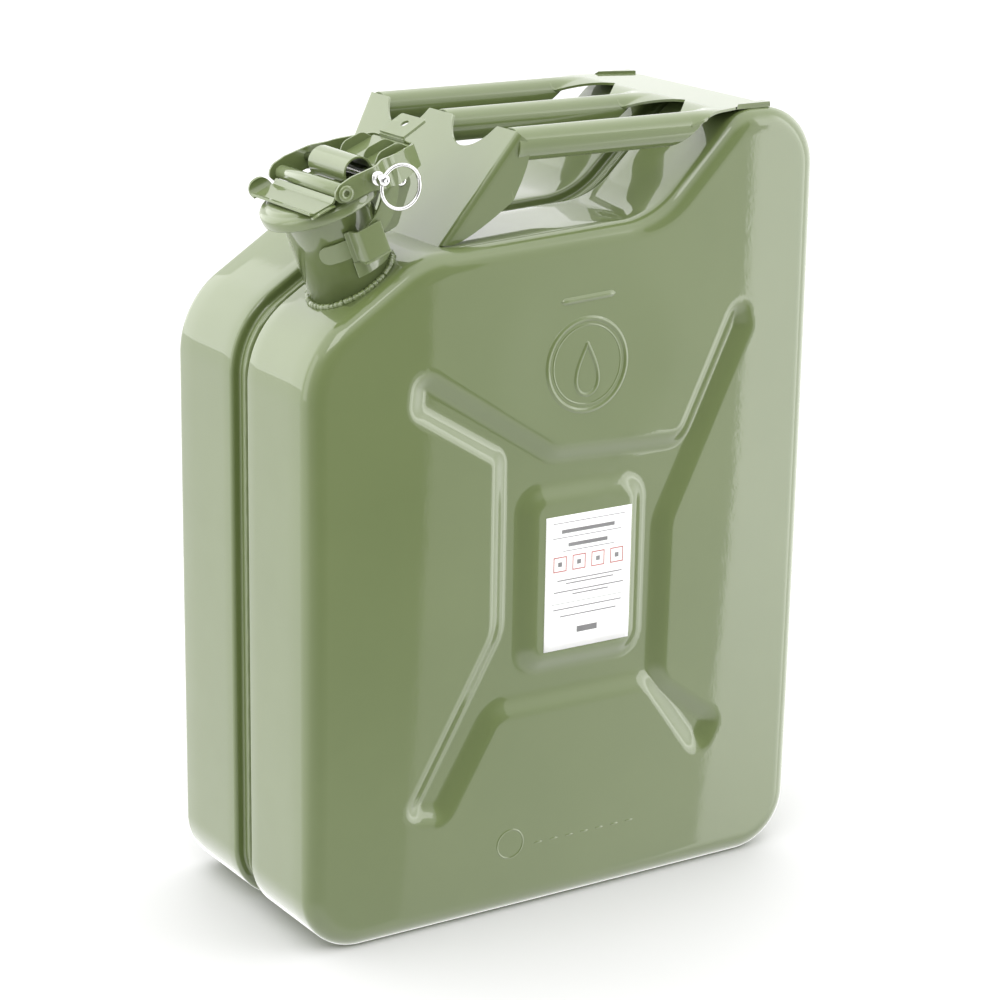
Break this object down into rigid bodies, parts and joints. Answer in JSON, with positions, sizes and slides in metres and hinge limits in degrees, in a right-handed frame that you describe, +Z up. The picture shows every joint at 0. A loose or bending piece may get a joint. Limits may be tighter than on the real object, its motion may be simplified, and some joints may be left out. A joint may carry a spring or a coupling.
{
  "type": "jerry can",
  "caption": "Flat-sided pressed steel fuel can with a triple bar handle, an offset tilted filler neck and a hinged lid held by a locking lever with a safety pin.",
  "frame": {"origin": "middle of the footprint on the ground, midway between the two pressed halves", "axes": "+Z up; X along the long side, with the filler neck at -X and the rear hump at +X; Y across the two halves, with the filler neck on the -Y half"},
  "size_m": [0.3482, 0.1725, 0.4745],
  "materials": {
    "body_paint": "gloss olive green enamel",
    "zinc": "bright zinc plate",
    "gasket_rubber": "matte black",
    "label_film": "satin printed film"
  },
  "bodies": {
    "can": {"body_shell_left": "body_paint", "body_shell_right": "body_paint", "seam_weld": "body_paint", "label": "label_film", "neck": "body_paint", "neck_weld_bead": "body_paint", "neck_bracket": "body_paint", "hinge_bracket": "body_paint", "hinge_pin": "zinc", "breather_tube": "zinc", "handle_bar_left": "body_paint", "handle_bar_middle": "body_paint", "handle_bar_right": "body_paint", "handle_front_plate": "body_paint", "handle_rear_plate": "body_paint", "handle_welds_left": "body_paint", "handle_welds_right": "body_paint"},
    "lid": {"lid_cap": "body_paint", "lid_gasket": "gasket_rubber", "lid_strap": "body_paint", "pivot_rivet": "body_paint"},
    "lever": {"locking_lever": "body_paint", "lock_bridge": "body_paint"},
    "pin": {"lock_pin": "zinc"},
    "ring": {"pin_ring": "zinc"}
  },
  "joints": [
    {"name": "lid_hinge", "type": "hinge", "parent": "can", "child": "lid", "pos_m": [-0.09979, -0.04, 0.44267], "axis": [0, 1, 0], "range_deg": [0, 85]},
    {"name": "lever_pivot", "type": "hinge", "parent": "lid", "child": "lever", "pos_m": [-0.14748, -0.04, 0.44325], "axis": [0, -1, 0], "range_deg": [0, 45]},
    {"name": "lock_pin_slide", "type": "slide", "parent": "lever", "child": "pin", "axis": [0, -1, 0], "range_m": [0, 0.084]},
    {"name": "ring_swing", "type": "hinge", "parent": "pin", "child": "ring", "pos_m": [-0.12959, -0.0865, 0.45048], "axis": [-0.3907, 0, -0.9205], "range_deg": [0, 80]}
  ]
}
